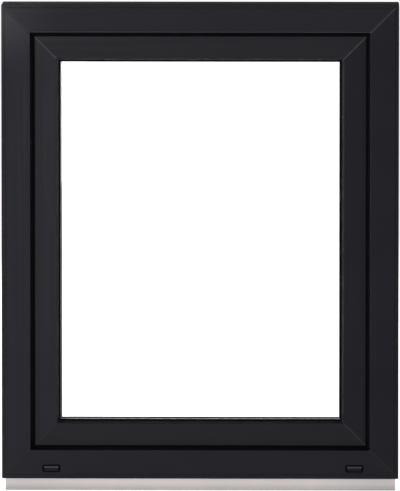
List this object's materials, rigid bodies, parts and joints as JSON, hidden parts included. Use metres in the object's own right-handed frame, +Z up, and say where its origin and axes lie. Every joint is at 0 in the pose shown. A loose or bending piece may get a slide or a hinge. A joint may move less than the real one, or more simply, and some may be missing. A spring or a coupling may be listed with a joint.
{
  "type": "basement window",
  "caption": "Small upright basement window: anthracite multi-chamber plastic frame and inward-opening sash, insulating glass, capped drain slots and a pale sill profile below.",
  "frame": {"origin": "on the underside of the sill profile, midway along it and midway through the frame's depth", "axes": "+X to the right seen from outdoors, +Y from outdoors to indoors, +Z up"},
  "size_m": [0.75, 0.1436, 0.925],
  "materials": {
    "anthracite_plastic": "smooth satin anthracite, coloured on every visible side",
    "clear_glass": "clear float glass",
    "spacer_metal": "mill finish with rows of fine breathing holes",
    "edge_sealant": "matte black trowelled sealant",
    "gasket_rubber": "soft matte black",
    "block_plastic": "moulded, ribbed",
    "sill_plastic": "plain extruded off-white",
    "cap_plastic": "moulded near-black",
    "hardware_coating": "fine satin powder coat",
    "pin_steel": "turned and zinc plated"
  },
  "bodies": {
    "root": {"frame_bottom": "anthracite_plastic", "frame_top": "anthracite_plastic", "frame_left": "anthracite_plastic", "frame_right": "anthracite_plastic", "sash_bottom": "anthracite_plastic", "sash_top": "anthracite_plastic", "sash_left": "anthracite_plastic", "sash_right": "anthracite_plastic", "glazing_bead_bottom": "anthracite_plastic", "glazing_bead_top": "anthracite_plastic", "glazing_bead_left": "anthracite_plastic", "glazing_bead_right": "anthracite_plastic", "outer_pane": "clear_glass", "inner_pane": "clear_glass", "spacer_bar": "spacer_metal", "edge_seal": "edge_sealant", "lip_gasket": "gasket_rubber", "flange_gasket": "gasket_rubber", "outer_glazing_gasket": "gasket_rubber", "inner_glazing_gasket": "gasket_rubber", "setting_block_left": "block_plastic", "setting_block_right": "block_plastic", "lower_location_block_left": "block_plastic", "lower_location_block_right": "block_plastic", "upper_location_block_left": "block_plastic", "upper_location_block_right": "block_plastic", "sill_profile": "sill_plastic", "drain_cap_left": "cap_plastic", "drain_cap_right": "cap_plastic", "handle_rosette": "hardware_coating", "handle_lever": "hardware_coating", "upper_hinge_frame_side": "hardware_coating", "upper_hinge_sash_side": "hardware_coating", "lower_hinge_frame_side": "hardware_coating", "lower_hinge_sash_side": "hardware_coating", "upper_hinge_pin": "pin_steel"}
  },
  "joints": []
}
